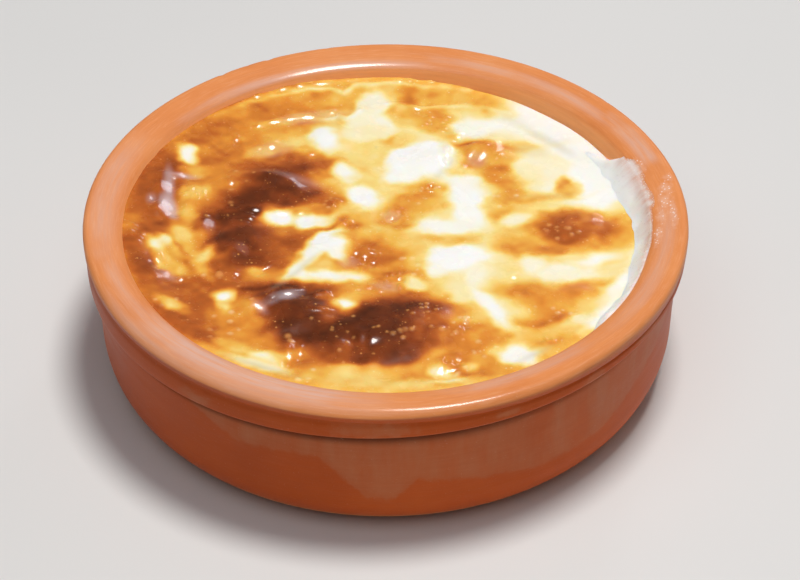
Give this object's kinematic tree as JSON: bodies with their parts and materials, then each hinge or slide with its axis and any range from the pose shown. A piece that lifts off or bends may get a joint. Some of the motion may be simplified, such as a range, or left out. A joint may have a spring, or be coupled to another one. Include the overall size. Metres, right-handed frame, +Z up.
{
  "type": "baked rice pudding in a terracotta dish",
  "caption": "Oven-baked rice pudding with a blistered, browned milk skin, filling a low round terracotta dish with a thick rolled rim",
  "frame": {"origin": "middle of the dish's flat base, on the surface it stands on", "axes": "+Z up along the dish's axis, -Y towards the front of the picture, +X to its right, where the collar is shallowest"},
  "size_m": [0.13, 0.13, 0.0365],
  "materials": {
    "terracotta": "unglazed, dry, faintly burnished clay",
    "baked_skin": "moist baked milk skin, white to dark brown"
  },
  "bodies": {
    "root": {"dish": "terracotta", "pudding": "baked_skin"}
  },
  "joints": []
}
